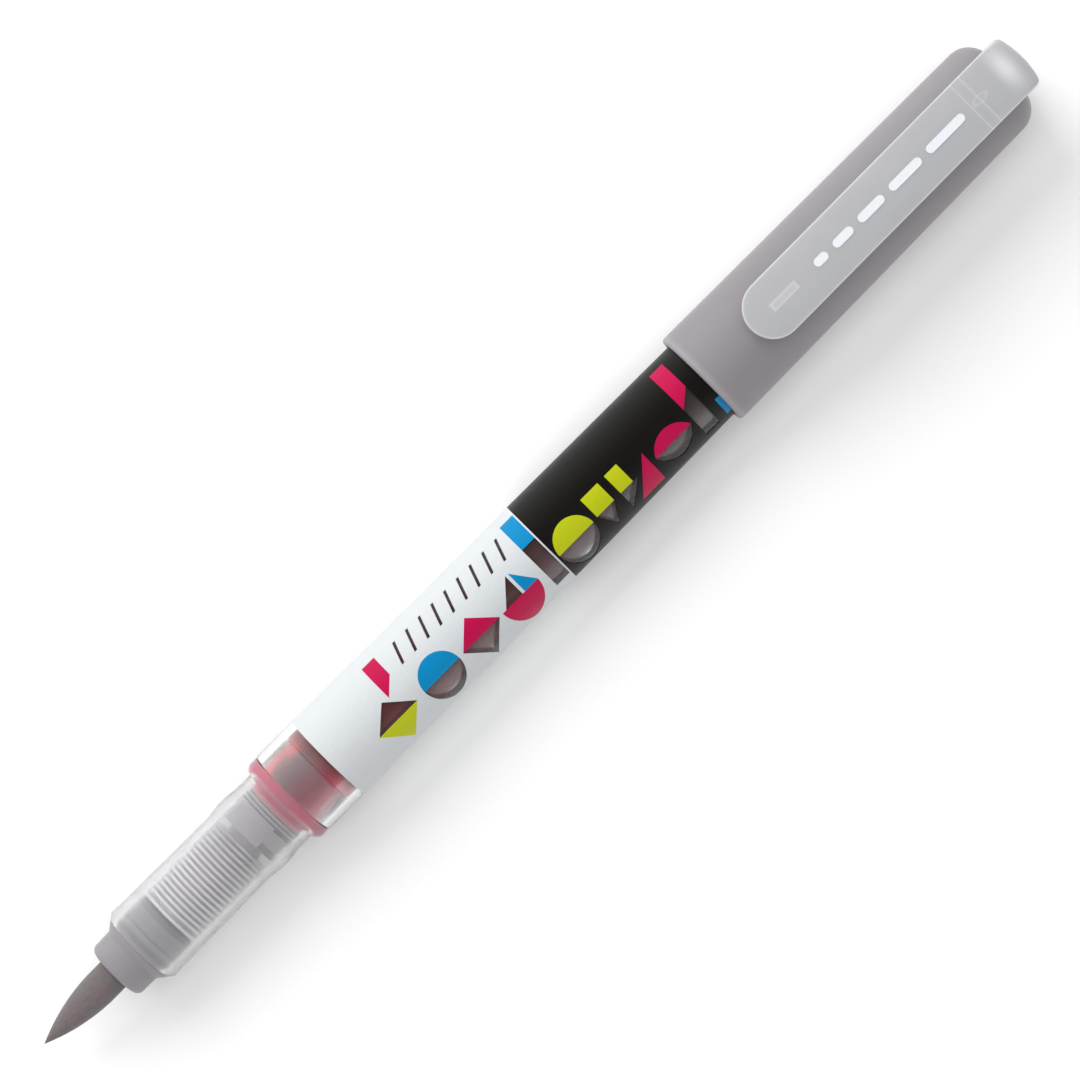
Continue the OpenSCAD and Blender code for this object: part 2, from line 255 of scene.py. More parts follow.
class Shader:
    """A material's node tree, with short calls for the nodes used here."""

    def __init__(self, name, **sockets):
        self.material = bpy.data.materials.new(name)
        self.material.use_nodes = True
        self.tree = self.material.node_tree
        self.tree.nodes.clear()
        self.output = self.add("OutputMaterial")
        self.principled = self.add("BsdfPrincipled")
        self.link(self.principled.outputs[0], self.output.inputs["Surface"])
        self.place = self.add("TexCoord").outputs["Object"]
        for socket, value in sockets.items():
            self.principled.inputs[socket.replace("_", " ")].default_value = value

    def add(self, kind):
        return self.tree.nodes.new("ShaderNode" + kind)

    def link(self, out, into):
        self.tree.links.new(out, into)

    def stretched(self, scale):
        """Object coordinates scaled on each axis."""
        mapping = self.add("Mapping")
        mapping.inputs["Scale"].default_value = scale
        self.link(self.place, mapping.inputs["Vector"])
        return mapping.outputs[0]

    def noise(self, scale, detail=3.0, stretch=(1, 1, 1), rough=0.55):
        """Noise whose features are about 1/scale metres across."""
        node = self.add("TexNoise")
        node.inputs["Scale"].default_value = scale
        node.inputs["Detail"].default_value = detail
        node.inputs["Roughness"].default_value = rough
        self.link(self.stretched(stretch), node.inputs["Vector"])
        return node.outputs["Fac"]

    def spread(self, value, low, high, start=0.3, end=0.7):
        """Maps a value from start..end to low..high, clamped."""
        node = self.add("MapRange")
        self.link(value, node.inputs["Value"])
        for socket, number in zip(("From Min", "From Max", "To Min", "To Max"), (start, end, low, high)):
            node.inputs[socket].default_value = number
        return node.outputs["Result"]

    def ramp(self, value, *stops):
        """Colours by value, from (place, colour) stops."""
        node = self.add("ValToRGB")
        elements = node.color_ramp.elements
        while len(elements) < len(stops):
            elements.new(0.5)
        for element, (place, colour) in zip(elements, stops):
            element.position, element.color = place, (*colour, 1)
        self.link(value, node.inputs["Fac"])
        return node.outputs["Color"]

    def mix(self, factor, a, b):
        """Mixes two colours, each a socket or a value."""
        node = self.add("Mix")
        node.data_type = "RGBA"
        for socket, value in ((node.inputs["Factor"], factor), (node.inputs[6], a), (node.inputs[7], b)):
            if hasattr(value, "is_output"):
                self.link(value, socket)
            else:
                socket.default_value = value if isinstance(value, float) else (*value, 1)
        return node.outputs[2]

    def maths(self, operation, a, b=0.0):
        """An operation on one or two numbers, each a socket or a value."""
        node = self.add("Math")
        node.operation = operation
        for socket, value in zip(node.inputs, (a, b)):
            if hasattr(value, "is_output"):
                self.link(value, socket)
            else:
                socket.default_value = value
        return node.outputs[0]

    def near(self, value, centre, reach, fade):
        """1 where a value is within reach of a centre, fading to 0."""
        away = self.maths("ABSOLUTE", self.maths("SUBTRACT", value, centre))
        return self.spread(away, 1, 0, reach, reach + fade)

    def axes(self):
        """The place's X, Y and Z."""
        split = self.add("SeparateXYZ")
        self.link(self.place, split.inputs[0])
        return split.outputs

    def bump(self, height, depth):
        """Bump from a height of 0..1, depth metres deep."""
        node = self.add("Bump")
        node.inputs["Strength"].default_value = 1.0
        node.inputs["Distance"].default_value = depth
        self.link(height, node.inputs["Height"])
        self.link(node.outputs[0], self.principled.inputs["Normal"])

    def to(self, socket, value):
        self.link(value, self.principled.inputs[socket])

    def lets_lamps_through(self, tint):
        """Lets lamps' light pass straight through, as thin clear plastic does."""
        clear, path, mix = self.add("BsdfTransparent"), self.add("LightPath"), self.add("MixShader")
        clear.inputs["Color"].default_value = (*tint, 1)
        self.link(path.outputs["Is Shadow Ray"], mix.inputs[0])
        self.link(self.principled.outputs[0], mix.inputs[1])
        self.link(clear.outputs[0], mix.inputs[2])
        self.link(mix.outputs[0], self.output.inputs["Surface"])


def shade(colour, factor):
    """A colour made darker or brighter."""
    return tuple(c * factor for c in colour)


def moulded(name, colour, rough, rings=(), **sockets):
    """Satin moulded plastic: fine spark-eroded grain, faint flow marks and handling scratches. It can carry
    rings of painted shade or painted highlight, each as (station, half width, soft edge, share of the
    colour)."""
    s = Shader(name, **sockets)
    flow = s.noise(90, 4, (0.35, 1, 1))
    fine = s.noise(5200, 2)
    scratches = s.noise(900, 6, (0.06, 1, 1), 0.7)
    worn = s.spread(scratches, 0, 1, 0.6, 0.72)
    base = s.mix(s.spread(flow, 0, 1), shade(colour, 0.95), shade(colour, 1.04))
    # Rings of painted shade or painted highlight.
    for place, half, soft, share in rings:
        ring = s.near(s.axes()[0], point(place, 0, 0).x, half, soft)
        base = s.mix(s.maths("MULTIPLY", ring, s.spread(flow, 0.5, 1)), base, shade(colour, share))
    s.to("Base Color", base)
    rubbed = s.spread(worn, 0, 0.06, 0, 1)
    s.to("Roughness", s.maths("ADD", s.spread(flow, rough - 0.04, rough + 0.04), rubbed))
    s.bump(s.maths("ADD", fine, s.maths("MULTIPLY", worn, -0.4)), 0.000004)
    return s.material


def collector_plastic():
    """Moulded plastic, greyer towards the tank, where ink has stained it."""
    s = Shader(
        "collector_plastic", Subsurface_Weight=0.3, Subsurface_Scale=0.001, Subsurface_Radius=(1.0, 1.0, 1.0),
    )
    along = s.spread(s.axes()[0], 0, 1, point(COLLECTOR_FRONT, 0, 0).x, point(COLLECTOR_END, 0, 0).x)
    flow = s.noise(300, 4, (0.35, 1, 1))
    stained = s.ramp(
        s.maths("ADD", along, s.spread(flow, -0.08, 0.08)),
        (0.0, (0.82, 0.8, 0.81)), (0.3, (0.82, 0.79, 0.81)), (0.6, (0.6, 0.56, 0.58)),
        (0.75, (0.31, 0.29, 0.3)), (1.0, (0.27, 0.245, 0.255)),
    )
    s.to("Base Color", s.mix(s.spread(s.noise(2400, 3), 0, 0.25), stained, (0.5, 0.46, 0.48)))
    s.to("Roughness", s.spread(flow, 0.34, 0.48))
    s.bump(flow, 0.000006)
    return s.material


def printed(name, colour, rough=0.42):
    """Printed film: even colour with a faint screen mottle, orange peel and rub marks."""
    s = Shader(name, IOR=1.35, Specular_IOR_Level=0.35)
    mottle = s.noise(2600, 3)
    peel = s.noise(700, 2)
    scratches = s.spread(s.noise(500, 6, (0.1, 1, 1), 0.7), 0, 1, 0.62, 0.74)
    rubbed = s.spread(scratches, 0, 0.12, 0, 1)
    s.to("Base Color", s.mix(s.spread(mottle, 0, 1), shade(colour, 0.975), shade(colour, 1.02)))
    s.to("Roughness", s.maths("ADD", s.spread(peel, rough - 0.03, rough + 0.03), rubbed))
    s.bump(peel, 0.000005)
    return s.material


def clear_plastic(name, clarity, tint, haze, shadow, front=None):
    """Clear moulded plastic with a faint flow ripple, hazy patches and fine scratches. It can be greyer ahead
    of the ink, where its colour is front."""
    s = Shader(name, Transmission_Weight=clarity, IOR=1.49, Specular_IOR_Level=0.25)
    ripple = s.noise(260, 3, (0.4, 1, 1))
    cloud = s.noise(700, 4)
    scratches = s.spread(s.noise(900, 6, (0.07, 1, 1), 0.7), 0, 0.08, 0.6, 0.75)
    behind = s.spread(s.axes()[0], 0, 1, point(BARREL_FRONT - 3.2, 0, 0).x, point(BARREL_FRONT - 1.8, 0, 0).x)
    low, high = (s.mix(behind, shade(front or tint, k), shade(tint, k)) for k in (0.97, 1.02))
    s.to("Base Color", s.mix(s.spread(ripple, 0, 1), low, high))
    if front:
        s.to("Transmission Weight", s.spread(behind, clarity - 0.08, clarity))
    s.to("Roughness", s.maths("ADD", s.spread(cloud, haze * 0.6, haze * 1.4), scratches))
    s.bump(ripple, 0.00001)
    s.lets_lamps_through(shadow)
    return s.material


def clip_marks(s, x, y):
    """Marks that show through the frosted clip: the rib's outline, two lines at the root and an oval."""
    rib = point(CLIP_TIP + 5.45, 0, 0).x
    outer = s.maths("MULTIPLY", s.near(x, rib, 0.002, 0.0001), s.near(y, 0.0, 0.0005, 0.0001))
    inner = s.maths("MULTIPLY", s.near(x, rib, 0.0015, 0.0003), s.near(y, 0.0, 0.0002, 0.0002))
    marks = s.maths("SUBTRACT", outer, s.maths("MULTIPLY", inner, 0.5))
    for root in (HEAD_FRONT + 0.1, HEAD_FRONT + 1.45):
        line = s.near(x, point(root, 0, 0).x, 0.00007, 0.0001)
        marks = s.maths("ADD", marks, s.maths("MULTIPLY", line, 0.6))
    oval_x = s.maths("MULTIPLY", s.maths("SUBTRACT", x, point(HEAD_FRONT + 1.5, 0, 0).x), 0.45)
    away = s.maths("SQRT", s.maths("ADD", s.maths("POWER", oval_x, 2.0), s.maths("POWER", y, 2.0)))
    oval = s.near(away, 0.00045, 0.00005, 0.0001)
    return s.maths("ADD", marks, s.maths("MULTIPLY", oval, 0.5))


def frosted_plastic():
    """Frosted translucent plastic, with a painted highlight along its edges and over its bend, painted light
    that makes its +Y side paler, and paler where marks show through.
    """
    s = Shader(
        "clip_frosted", Transmission_Weight=0.18, IOR=1.45,
        Subsurface_Weight=0.3, Subsurface_Scale=0.0012, Subsurface_Radius=(1.0, 1.0, 1.0),
    )
    x, y, _ = s.axes()
    half = CLIP_W / 2 * MM
    cloud = s.noise(160, 4, (0.5, 1, 1))
    grain = s.noise(6000, 2)
    marks = clip_marks(s, x, y)
    edge = s.add("Attribute")
    edge.attribute_name = "edge"
    # Painted highlight along the clip's edge, stronger on its -Y side.
    edge_highlight = s.maths("MULTIPLY", edge.outputs["Fac"], s.spread(y, 0.7, 0.1, -half, half))
    # Painted highlight over the bend.
    bend_highlight_x = s.near(x, point(HEAD_END - 2.6, 0, 0).x, 0.0003, 0.0013)
    bend_highlight = s.maths("MULTIPLY", bend_highlight_x, s.near(y, 0.0006, 0.0005, 0.0032))
    # The painted highlights, with the marks that show through.
    highlights_and_marks = s.maths("ADD", edge_highlight, s.maths("MULTIPLY", marks, 0.5))
    highlights_and_marks = s.maths("ADD", highlights_and_marks, s.maths("MULTIPLY", bend_highlight, 0.95))
    # Painted light: paler towards the +Y side, where the key lamp stands.
    painted_side_light = s.maths("ADD", s.spread(y, 0, 0.8, -half, half), s.spread(cloud, -0.1, 0.2))
    base = s.mix(s.spread(painted_side_light, 0, 1, 0, 1), (0.425, 0.43, 0.445), (0.505, 0.505, 0.515))
    s.to("Base Color", s.mix(s.spread(highlights_and_marks, 0, 1, 0, 1), base, (0.7, 0.7, 0.715)))
    s.to("Roughness", s.spread(cloud, 0.36, 0.46))
    s.bump(s.maths("ADD", grain, s.maths("MULTIPLY", marks, 2.0)), 0.000006)
    return s.material


def felt():
    """Dense felt stained by ink, mottled in patches, with short fibres."""
    s = Shader("nib_felt", Sheen_Weight=0.15, Sheen_Roughness=0.6, IOR=1.35)
    fibres = s.noise(4200, 4, (0.3, 1, 1), 0.7)
    stain = s.noise(520, 4, (0.8, 1, 1))
    fuzz = s.noise(9000, 3)
    tint = s.ramp(
        stain, (0.32, (0.138, 0.092, 0.102)), (0.5, (0.114, 0.094, 0.099)), (0.68, (0.105, 0.1, 0.092)),
    )
    s.to("Base Color", s.mix(s.spread(fibres, 0, 0.45), tint, (0.2, 0.175, 0.18)))
    s.to("Roughness", s.spread(fibres, 0.75, 0.95))
    s.bump(s.maths("ADD", fibres, s.maths("MULTIPLY", fuzz, 0.6)), 0.00003)
    return s.material


def ink():
    """Pigment ink, coloured across its width at the front of the tank: pink at its sides, partly the thin
    ink's own colour and partly painted light shining through it, and a painted grey reflection on its +Y
    side; duller and darker towards the +Y side behind the spigot; then maroon to dark grey.
    """
    s = Shader("ink_liquid", IOR=1.33, Specular_IOR_Level=0.2)
    x, y, _ = s.axes()
    swirl = s.noise(420, 3, (0.5, 1, 1))
    drift = s.maths("ADD", y, s.spread(swirl, -0.0006, 0.0006))
    # Colour across the width: pink at the sides, partly thin ink and partly painted light through it, and a
    # painted grey reflection on the +Y side.
    streaks_and_light = s.ramp(
        s.spread(drift, 0, 1, -0.005, 0.005),
        (0.05, (0.85, 0.42, 0.44)), (0.16, (0.85, 0.4, 0.43)), (0.2, (0.72, 0.1, 0.16)),
        (0.3, (0.46, 0.045, 0.085)), (0.45, (0.33, 0.09, 0.12)), (0.6, (0.28, 0.17, 0.175)),
        (0.76, (0.29, 0.165, 0.17)), (0.83, (0.9, 0.15, 0.16)), (0.92, (0.9, 0.2, 0.21)),
    )
    # Duller and darker towards the +Y side behind the spigot.
    past_spigot = s.spread(x, 0, 0.8, point(SPIGOT_END - 0.2, 0, 0).x, point(SPIGOT_END + 0.6, 0, 0).x)
    dull = s.maths("MULTIPLY", past_spigot, s.spread(y, 0, 1, 0.001, 0.003))
    streaks_and_light = s.mix(dull, streaks_and_light, (0.24, 0.13, 0.14))
    depth = s.spread(x, 0, 1, point(PRINT_FRONT, 0, 0).x, point(CAP_RIM, 0, 0).x)
    tank = s.ramp(
        s.maths("ADD", depth, s.spread(swirl, -0.1, 0.1)),
        (0.0, (0.2, 0.037, 0.036)), (0.25, (0.155, 0.034, 0.034)), (0.6, (0.1, 0.046, 0.046)),
        (1.0, (0.058, 0.04, 0.041)),
    )
    throat = s.mix(s.spread(swirl, 0, 1), (0.46, 0.14, 0.2), (0.57, 0.12, 0.175))
    window = s.spread(x, 0, 1, point(BARREL_FRONT - 0.6, 0, 0).x, point(BARREL_FRONT + 0.2, 0, 0).x)
    behind = s.spread(x, 0, 1, point(PRINT_FRONT - 1.5, 0, 0).x, point(PRINT_FRONT + 0.8, 0, 0).x)
    s.to("Base Color", s.mix(behind, s.mix(window, throat, streaks_and_light), tank))
    s.to("Roughness", s.spread(swirl, 0.3, 0.5))
    s.bump(swirl, 0.00003)
    return s.material


def steel():
    """Polished steel with fine tumbling marks."""
    s = Shader("ball_steel", Metallic=1.0)
    marks = s.noise(2500, 5)
    s.to("Base Color", s.mix(s.spread(marks, 0, 1), (0.56, 0.57, 0.58), (0.66, 0.66, 0.67)))
    s.to("Roughness", s.spread(marks, 0.12, 0.24))
    s.bump(marks, 0.000002)
    return s.material


def fibre():
    """Bundled fibres soaked with ink."""
    s = Shader("rod_fibre", Sheen_Weight=0.1)
    fibres = s.noise(2600, 5, (0.05, 1, 1), 0.7)
    s.to("Base Color", s.mix(s.spread(fibres, 0, 1), (0.3, 0.07, 0.09), (0.45, 0.16, 0.18)))
    s.to("Roughness", s.spread(fibres, 0.6, 0.85))
    s.bump(fibres, 0.00003)
    return s.material


NIB_FELT = felt()
# Painted shade: dark rings on the stem where it meets the grip's front and at its end, before the collector.
STEM_SHADE_RINGS = [
    (GRIP_FRONT + 0.8, 0.0003, 0.0002, 0.5), (GRIP_FRONT + 2.0, 0.0001, 0.0001, 0.5),
    (STEM_END - 0.3, 0.0003, 0.0002, 0.4),
]
NOSE_PLASTIC = moulded("nose_plastic", (0.235, 0.222, 0.24), 0.42, STEM_SHADE_RINGS, IOR=1.42)
HAZY = clear_plastic(
    "grip_plastic", 0.965, (0.95, 0.95, 0.955), 0.17, (0.89, 0.89, 0.895), front=(0.8, 0.8, 0.81)
)
CLEAR = clear_plastic("barrel_plastic", 0.995, (0.94, 0.945, 0.95), 0.05, (0.92, 0.92, 0.925))
COLLECTOR_PLASTIC = collector_plastic()
INK = ink()
ROD = fibre()
STEEL = steel()
WHITE = printed("white_print", (0.515, 0.537, 0.553))
BLACK = printed("black_print", (0.005, 0.0045, 0.004))
MAGENTA = printed("magenta_print", (0.41, 0.002, 0.055))
CYAN = printed("cyan_print", (0.0, 0.195, 0.42))
LIME = printed("lime_print", (0.406, 0.45, 0.006))
CLIP_WHITE = printed("clip_white", (0.66, 0.68, 0.715))
# The bright ring just behind the cap's rim is a painted highlight on the rim's round.
CAP_PLASTIC = moulded(
    "cap_plastic", (0.222, 0.207, 0.221), 0.42, [(CAP_RIM + 0.45, 0.0001, 0.0005, 1.3)], IOR=1.42
)
LINER_PLASTIC = moulded(
    "liner_plastic", (0.6, 0.6, 0.59), 0.45, Subsurface_Weight=0.2, Subsurface_Scale=0.001
)
FROSTED = frosted_plastic()


def finish_piece(obj, material, body, slot, *nodes):
    """Gives a piece its material and its body, and hides the CAD nodes it stands for. Its slot in the record
    is not used.
    """
    obj.data.materials.clear()
    obj.data.materials.append(material)
    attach(obj, body)
    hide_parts(*nodes)


# ---------------------------------------------------------------- the marker

def make_nib():
    """Pointed felt nib: a tangent ogive on a round shank, slightly uneven as cut felt is."""
    length = 10.0
    big = (NIB_R ** 2 + length ** 2) / (2 * NIB_R)
    outline = [(0, 0)]
    for k in range(60):
        s = 0.04 + (length - 0.04) * (k / 59) ** 1.3
        outline.append((math.sqrt(big ** 2 - (length - s) ** 2) + NIB_R - big + 0.02, s))
    outline += [(NIB_R, length + 0.5 * k) for k in range(1, 5)]
    outline += [(NIB_R, NIB_END - 0.2), (NIB_R - 0.2, NIB_END), (0, NIB_END)]

    def uneven(r, s, a):
        at = Vector((s * 0.35, math.cos(a) * 1.4, math.sin(a) * 1.4))
        fine = Vector((s * 1.5, math.cos(a) * 9, math.sin(a) * 9))
        keep = min(1, s / 1.5)
        return min(r * (1 + keep * (0.006 * noise.noise(at) + 0.003 * noise.noise(fine))), NIB_R)

    nib = lathe("brush_nib", outline, 128, uneven)
    finish_piece(nib, NIB_FELT, "marker", "nib_felt", "brush_nib")


def make_nose():
    """Nib holder: the nose with its rounded front, the shoulder and the stem inside the grip."""
    hole = NIB_R + 0.03
    outline = rounded([
        (hole, NOSE_FRONT, 0.12), (NOSE_R - 0.05, NOSE_FRONT, 1.6), (NOSE_R, SHOULDER_FRONT, 0.3),
        (SHOULDER_R - 0.05, GRIP_FRONT - 0.2, 0.12), (SHOULDER_R - 0.05, GRIP_FRONT - 0.02, 0.05),
        (STEM_R, GRIP_FRONT - 0.02), (STEM_R, STEM_END, 0.2), (hole, STEM_END),
    ], 8)
    nose = lathe("nib_holder", outline)
    finish_piece(nose, NOSE_PLASTIC, "marker", "nose_plastic", "nib_holder")


def make_grip():
    """Clear grip with a shallow finger wave, a rear collar and the thin spigot round the ink's throat."""
    wave, spigot_r = BARREL_FRONT - 8.9, BORE_R - 0.03
    swell = [
        (GRIP_WAIST_R + 0.25 * math.sin(math.pi * k / 16), wave + 4.8 * k / 16) for k in range(16)
    ]
    outline = rounded([
        (STEM_R + 0.03, GRIP_FRONT, 0.05), (4.8, GRIP_FRONT, 0.1), (GRIP_R, GRIP_FRONT + 0.65, 0.4),
        (GRIP_R, GRIP_FRONT + 1.75, 0.1), (GRIP_R - 0.06, GRIP_FRONT + 1.8, 0.04), *swell,
        (GRIP_WAIST_R + 0.03, BARREL_FRONT - 2.1), *arc(BARREL_R - 1.2, BARREL_FRONT - 0.85, 1.14, -78, -4),
        (BARREL_R - 0.07, BARREL_FRONT - 0.1, 0.12), (spigot_r, BARREL_FRONT - 0.1, 0.05),
        (spigot_r, SPIGOT_END - 0.4), (spigot_r - 0.2, SPIGOT_END, 0.05), (THROAT_R, SPIGOT_END, 0.05),
        (THROAT_R, BARREL_FRONT - 1.1, 0.3), (CHAMBER_R, BARREL_FRONT - 2, 0.3),
        (CHAMBER_R, STEM_END + 0.1), (STEM_R + 0.03, STEM_END + 0.1),
    ])
    grip = lathe("grip_section", outline)
    finish_piece(grip, HAZY, "marker", "clear_plastic", "grip_section")


def make_collector():
    """Finned collector with its flange, seal block, air slot and the pad between two pockets."""
    core, bore, fin, pitch, back_pitch, count = 2.4, 1.23, 0.34, 0.68, 0.52, 17
    slot_turn = math.radians(3.5)
    steep = 1e-3                                    # how far from upright a pocket's end walls are
    fins_front = COLLECTOR_FRONT + 0.9
    block_front = fins_front + count * pitch + 0.6
    block_end = block_front + 3.1
    plates = [(COLLECTOR_FRONT, COLLECTOR_FRONT + fin + 0.05)]
    plates += [(fins_front + i * pitch, fins_front + i * pitch + fin) for i in range(count)]
    plates += [(block_front, block_end)]
    plates += [(block_end + i * back_pitch - fin, block_end + i * back_pitch) for i in (1, 2)]
    pockets = [(block_front + 0.1, block_front + 0.95), (block_front + 2.75, block_end - 0.05)]

    outline = [(bore, COLLECTOR_FRONT)]
    for front, end in plates:
        if outline[-1][0] == core:
            outline.append((core, front))
        cuts = [p for p in pockets if front < p[0] < end]
        walls = [s for low, high in cuts for s in (low - steep, low, high, high + steep)]
        edges = [front, *walls, end]
        outline += [(FIN_R - 0.05, front)]
        outline += [(FIN_R, min(max(e, front + 0.05), end - 0.05)) for e in edges]
        outline += [(FIN_R - 0.05, end), (core, end)]
    outline[-1] = (core, COLLECTOR_END)
    outline.append((bore, COLLECTOR_END))

    def cut_away(r, s, a):
        """The air slot runs along the underside, and the pockets are on the -Y side, above the axis."""
        if r <= core:
            return r
        if abs(a - 1.5 * math.pi) < slot_turn:
            return core
        y, z = r * math.cos(a), r * math.sin(a)
        pocket = any(low - 1e-6 <= s <= high + 1e-6 for low, high in pockets)
        if pocket and y < -1.4 and z > 0:
            return core
        return r

    collector = lathe("collector", outline, 288, cut_away, 30)
    finish_piece(collector, COLLECTOR_PLASTIC, "marker", "collector_plastic", "collector")


def make_barrel():
    """Clear tank, closed at its tail, let down by the film's thickness behind its front land."""
    tank_end = BARREL_END - TAIL_T
    sunk = FILM_T + 0.003
    tail = barrel_at(BARREL_END) - sunk
    outline = rounded([
        (BORE_R, BARREL_FRONT, 0.1), (BARREL_R, BARREL_FRONT, 0.16), (BARREL_R, PRINT_FRONT),
        (BARREL_R - sunk, PRINT_FRONT), (barrel_at(PRINT_END) - sunk, PRINT_END),
        (tail, BARREL_END, 1.2), (0, BARREL_END), (0, tank_end),
        (barrel_at(tank_end) - BARREL_WALL, tank_end, 0.6), (BORE_R, PRINT_FRONT),
    ], 8)
    barrel = lathe("barrel", outline)
    finish_piece(barrel, CLEAR, "marker", "clear_plastic", "barrel")


def make_ink():
    """The ink in the grip's rear chamber and the tank, with the lane that the ball travels in. It is a hair
    wider than the throat, so that it wets the wall there and colours the collar."""
    gap = 0.1
    front = COLLECTOR_END + 0.05
    rear_r = barrel_at(INK_END) - BARREL_WALL - gap
    outline = rounded([
        (0, front), (CHAMBER_R - 0.35, front, 0.4), (CHAMBER_R - 0.04, front + 0.7, 0.2),
        (CHAMBER_R - 0.04, BARREL_FRONT - 1.96, 0.3), (THROAT_R + 0.01, BARREL_FRONT - 1.06, 0.2),
        (THROAT_R + 0.01, BARREL_FRONT - 0.3), (THROAT_R - 0.04, BARREL_FRONT - 0.25),
        (THROAT_R - 0.04, SPIGOT_END + 0.05), (BORE_R - gap, SPIGOT_END + 0.05, 0.2),
        (BORE_R - gap, PRINT_FRONT), (rear_r, INK_END, 0.6), (0, INK_END),
    ])
    charge = lathe("ink", outline, 128)
    low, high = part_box("mixing_ball")
    lane_r, lane_z = (high.z - low.z) / 2 / MM + 0.35, ((high.z + low.z) / 2 - AXIS_Z) / MM
    lane_front, lane_end = SPIGOT_END + 2.8, INK_END + 2
    lane = lathe("cutter", [(0, lane_front), (lane_r, lane_front), (lane_r, lane_end), (0, lane_end)], 64)
    lane.data.transform(Matrix.Translation((0, 0, lane_z * MM)))
    combine(charge, lane, "DIFFERENCE")
    smooth(charge.data)
    finish_piece(charge, INK, "marker", "ink_liquid", "ink")


def make_ball():
    """Steel mixing ball in the tank."""
    low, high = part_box("mixing_ball")
    bm = bmesh.new()
    bmesh.ops.create_icosphere(bm, subdivisions=4, radius=(high.z - low.z) / 2 - 1e-5)
    bmesh.ops.translate(bm, verts=bm.verts, vec=(low + high) / 2)
    mesh = bpy.data.meshes.new("mixing_ball")
    bm.to_mesh(mesh)
    bm.free()
    smooth(mesh)
    ball = bpy.data.objects.new("mixing_ball", mesh)
    bpy.context.scene.collection.objects.link(ball)
    finish_piece(ball, STEEL, "ball", "ball_steel", "mixing_ball")


# ---------------------------------------------------------------- the printed films
# Outlines are lists of (distance behind the print's front edge, distance to the +Y side), in mm,
# seen from above. Tiles are built from plain shapes about the row's centre line.
ROW_Y = -2.7
STRIPS = 120                                        # flat strips round the film


def half_disc(x, r, upper):
    """The half of a disc above or below the row's centre line."""
    first = 0 if upper else 180
    return arc(x, ROW_Y, r, first, first + 180, 24)


def half_rhomb(x, w, h, upper):
    """Half of a rhomb, w and h from its centre to its points."""
    return [(x - w, ROW_Y), (x + w, ROW_Y), (x, ROW_Y + (h if upper else -h))]


def half_leaf(x, w, r, upper):
    """Half of a leaf w long, whose sides are arcs of radius r."""
    lift = math.sqrt(r * r - w * w / 4)
    half = math.degrees(math.asin(w / 2 / r))
    if upper:
        return arc(x, ROW_Y - lift, r, 90 - half, 90 + half, 24)
    return arc(x, ROW_Y + lift, r, 270 - half, 270 + half, 24)


def bar(x0, x1, y0, y1):
    """A rectangle between two distances along and two across."""
    return [(x0, y0), (x1, y0), (x1, y1), (x0, y1)]


def ticks():
    """A plain row of slanted ticks."""
    low, high = 1.45, 4.05
    starts = [14 + 2.1 * i for i in range(9)]
    return [[(x, low), (x + 0.4, low), (x + 1.3, high), (x + 0.9, high)] for x in starts]


ART = {
    "print_magenta": [
        [(10.2, 4.4), (12.2, 4.4), (12.2, 1.7), (10.2, -0.2)], half_rhomb(22.9, 3, 2.85, True),
        half_disc(29.3, 2.9, False), [(47.4, -5), (51, -5), (51, -1)],
        half_leaf(54.6, 5.8, 3.2, True), [(58, 4.6), (60.1, 4.6), (60.1, 0.8), (58, -1)],
    ],
    "print_cyan": [
        half_disc(16.4, 2.85, True), [(30.1, 0.2), (32.2, ROW_Y), (30.1, ROW_Y)], bar(33.2, 35.3, 0.9, 4.6),
        bar(61.4, 63, -4.9, -2.7),
    ],
    "print_lime": [
        half_rhomb(9.2, 3.1, 2.75, False), half_disc(38.6, 2.8, True), bar(42.1, 44.9, -2.6, 0.2),
        bar(46, 48, -2.6, 0.2),
    ],
    "clear": [
        half_rhomb(9.2, 3.1, 2.75, True), half_disc(16.4, 2.85, False), half_rhomb(22.9, 3, 2.85, False),
        [(29.7, 0.2), (29.7, ROW_Y), (27, ROW_Y)], bar(33.2, 35.3, -4.9, 0.9), half_disc(38.6, 2.8, False),
        [(42.1, -2.6), (44.9, -2.6), (43.5, -5)], [(46, -2.6), (48.9, -2.6), (46, -4.9)],
        half_leaf(54.6, 5.8, 3.2, False), [(58, -1), (60.1, 0.8), (60.1, -4.9), (58, -4.9)], *ticks(),
    ],
}


def inside(outline, x, y):
    """Which of the points are inside an outline."""
    hits = np.zeros(len(x), bool)
    for (x0, y0), (x1, y1) in zip(outline, outline[1:] + outline[:1]):
        if y0 != y1:
            hits ^= ((y0 > y) != (y1 > y)) & (x < (x1 - x0) * (y - y0) / (y1 - y0) + x0)
    return hits


def film_triangles():
    """Triangles of the whole film as (distance, turn) points, with the artwork's outlines among their edges.
    The turn runs from the underside round the +Y side, the top and the -Y side, in radians."""
    length, split = PRINT_END - PRINT_FRONT, PRINT_SPLIT - PRINT_FRONT
    points, edges = [], []

    def line(run):
        first = len(points)
        points.extend(Vector(p) for p in run)
        edges.extend((k, k + 1) for k in range(first, len(points) - 1))

    turns = [math.pi * (2 * k / STRIPS - 0.5) for k in range(STRIPS + 1)]
    for turn in turns:
        line([(0, turn), (length, turn)])
    for x in (0, split, length):
        line([(x, turn) for turn in turns])
    for outline in sum(ART.values(), []):
        run = []
        for (x0, y0), (x1, y1) in zip(outline, outline[1:] + outline[:1]):
            steps = math.ceil(math.hypot(x1 - x0, y1 - y0) / 0.35)
            for k in range(steps + 1):
                x, y = x0 + (x1 - x0) * k / steps, y0 + (y1 - y0) * k / steps
                run.append((x, math.acos(y / barrel_at(PRINT_FRONT + x))))
        line(run)
    made, _, faces, *_ = delaunay_2d_cdt(points, edges, [], 0, 1e-5)
    return np.array([tuple(p) for p in made]), np.array([tuple(f) for f in faces])


